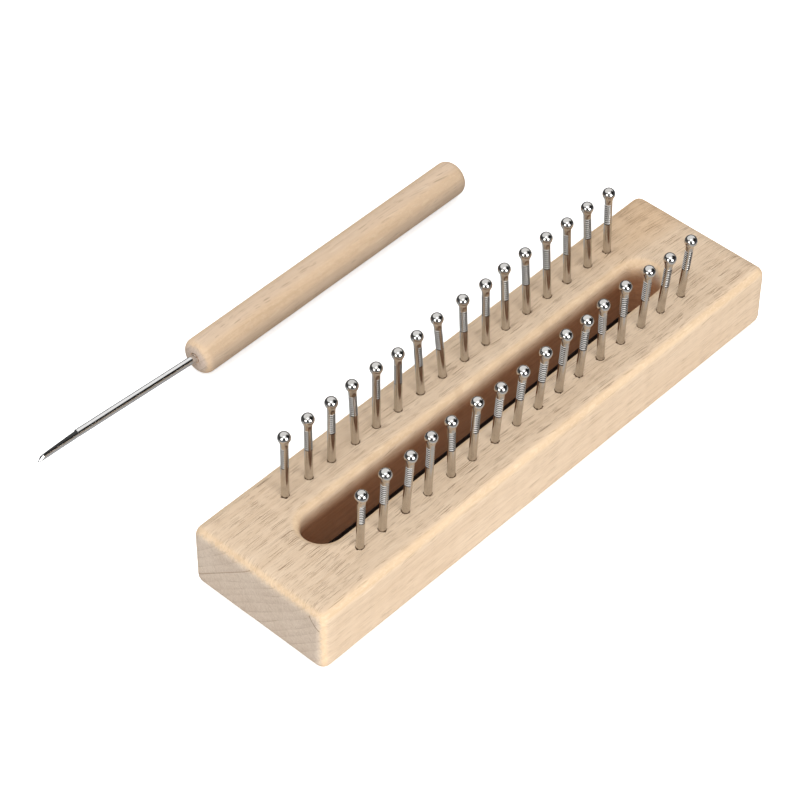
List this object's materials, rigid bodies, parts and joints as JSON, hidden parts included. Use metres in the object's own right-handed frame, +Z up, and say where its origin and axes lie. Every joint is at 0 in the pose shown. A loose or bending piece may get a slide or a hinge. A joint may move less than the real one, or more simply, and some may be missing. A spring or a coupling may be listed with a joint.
{
  "type": "peg loom",
  "caption": "Hand-held peg loom: a slotted beech block with a row of round-headed nails on each side of the slot, and a wooden-handled pick lying beside it.",
  "frame": {"origin": "middle of the fabric slot's mouth in the block's underside: the centre of the block's length and width, on the surface that it stands on", "axes": "+X along the block's length and the rows of pegs, away from the pick's needle tip; +Y across the block towards the pick; +Z up, along the pegs"},
  "size_m": [0.2049, 0.1197, 0.0479],
  "materials": {
    "beech": "sanded, unvarnished",
    "peg_steel": "bright, nickel-plated",
    "handle_wood": "sanded, unvarnished",
    "needle_steel": "polished",
    "glue": "clear, glossy, slightly brown"
  },
  "bodies": {
    "loom": {"block": "beech", "peg_back_01": "peg_steel", "peg_back_02": "peg_steel", "peg_back_03": "peg_steel", "peg_back_04": "peg_steel", "peg_back_05": "peg_steel", "peg_back_06": "peg_steel", "peg_back_07": "peg_steel", "peg_back_08": "peg_steel", "peg_back_09": "peg_steel", "peg_back_10": "peg_steel", "peg_back_11": "peg_steel", "peg_back_12": "peg_steel", "peg_back_13": "peg_steel", "peg_back_14": "peg_steel", "peg_back_15": "peg_steel", "peg_back_16": "peg_steel", "peg_front_01": "peg_steel", "peg_front_02": "peg_steel", "peg_front_03": "peg_steel", "peg_front_04": "peg_steel", "peg_front_05": "peg_steel", "peg_front_06": "peg_steel", "peg_front_07": "peg_steel", "peg_front_08": "peg_steel", "peg_front_09": "peg_steel", "peg_front_10": "peg_steel", "peg_front_11": "peg_steel", "peg_front_12": "peg_steel", "peg_front_13": "peg_steel", "peg_front_14": "peg_steel", "peg_front_15": "peg_steel", "peg_front_16": "peg_steel"},
    "pick": {"pick_handle": "handle_wood", "pick_needle": "needle_steel", "pick_glue": "glue"}
  },
  "joints": [
    {"name": "pick_lift", "type": "slide", "parent": "loom", "child": "pick", "axis": [0, 0, 1], "range_m": [0, 0.12]}
  ]
}
